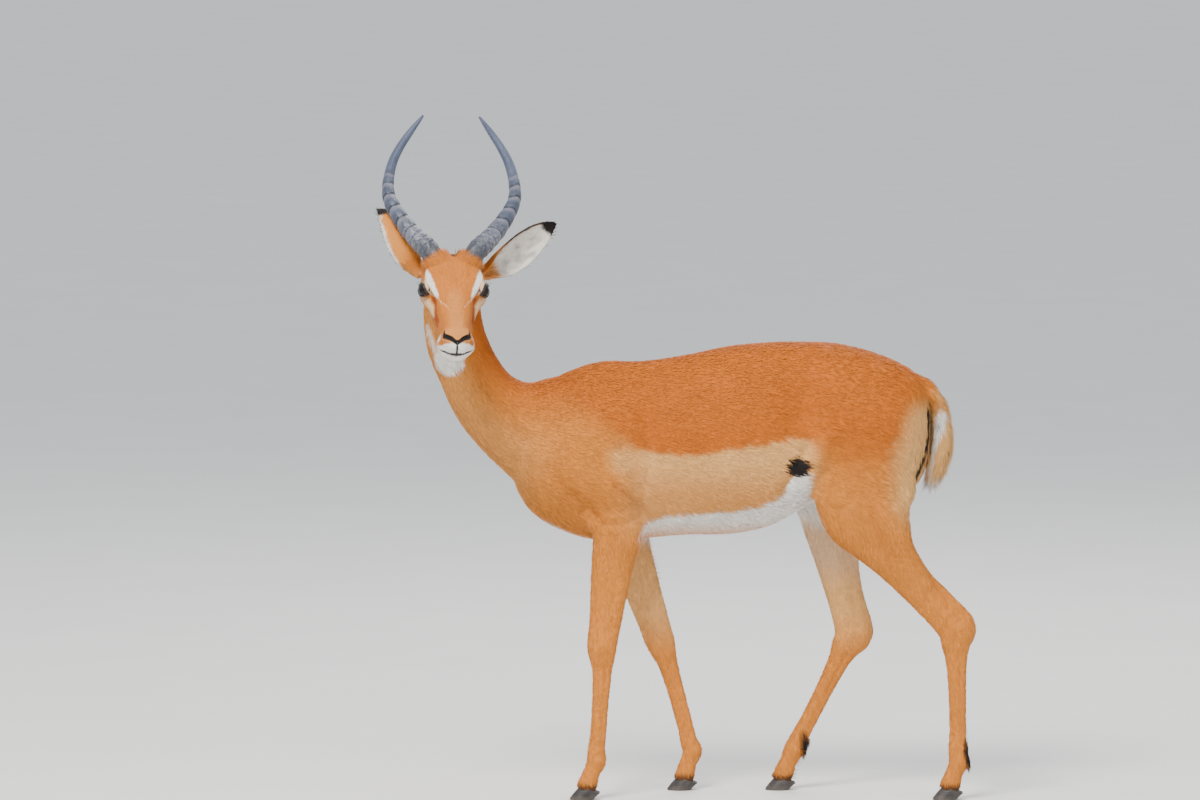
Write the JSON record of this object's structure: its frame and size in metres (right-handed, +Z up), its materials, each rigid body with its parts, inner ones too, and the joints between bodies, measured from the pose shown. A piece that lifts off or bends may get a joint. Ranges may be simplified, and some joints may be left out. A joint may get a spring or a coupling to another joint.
{
  "type": "impala model",
  "caption": "Life-size still model of an impala ram, standing in mid step with its head turned to one side, with ringed lyre-shaped horns, standing on flat hoof soles.",
  "frame": {"origin": "on the floor, under the middle of the whole model's bounding box", "axes": "+Z up, the body faces -X, its left side and the turned head face -Y"},
  "size_m": [1.2312, 0.3908, 1.4028],
  "materials": {
    "coat": "short flat rufous and tan hair",
    "face": "very short tan hair",
    "horn": "satin ringed horn",
    "hoof": "satin black horn",
    "eye": "wet gloss"
  },
  "bodies": {
    "root": {"trunk": "coat", "neck": "coat", "head": "face", "tail": "coat", "ear_left": "face", "ear_right": "face", "horn_left": "horn", "horn_right": "horn", "eye_left": "eye", "eye_right": "eye", "foreleg_left_upper": "coat", "foreleg_left_lower": "coat", "foreleg_right_upper": "coat", "foreleg_right_lower": "coat", "hindleg_left_upper": "coat", "hindleg_left_lower": "coat", "hindleg_right_upper": "coat", "hindleg_right_lower": "coat", "foreleg_left_claw_inner": "hoof", "foreleg_left_claw_outer": "hoof", "foreleg_right_claw_inner": "hoof", "foreleg_right_claw_outer": "hoof", "hindleg_left_claw_inner": "hoof", "hindleg_left_claw_outer": "hoof", "hindleg_right_claw_inner": "hoof", "hindleg_right_claw_outer": "hoof"}
  },
  "joints": []
}
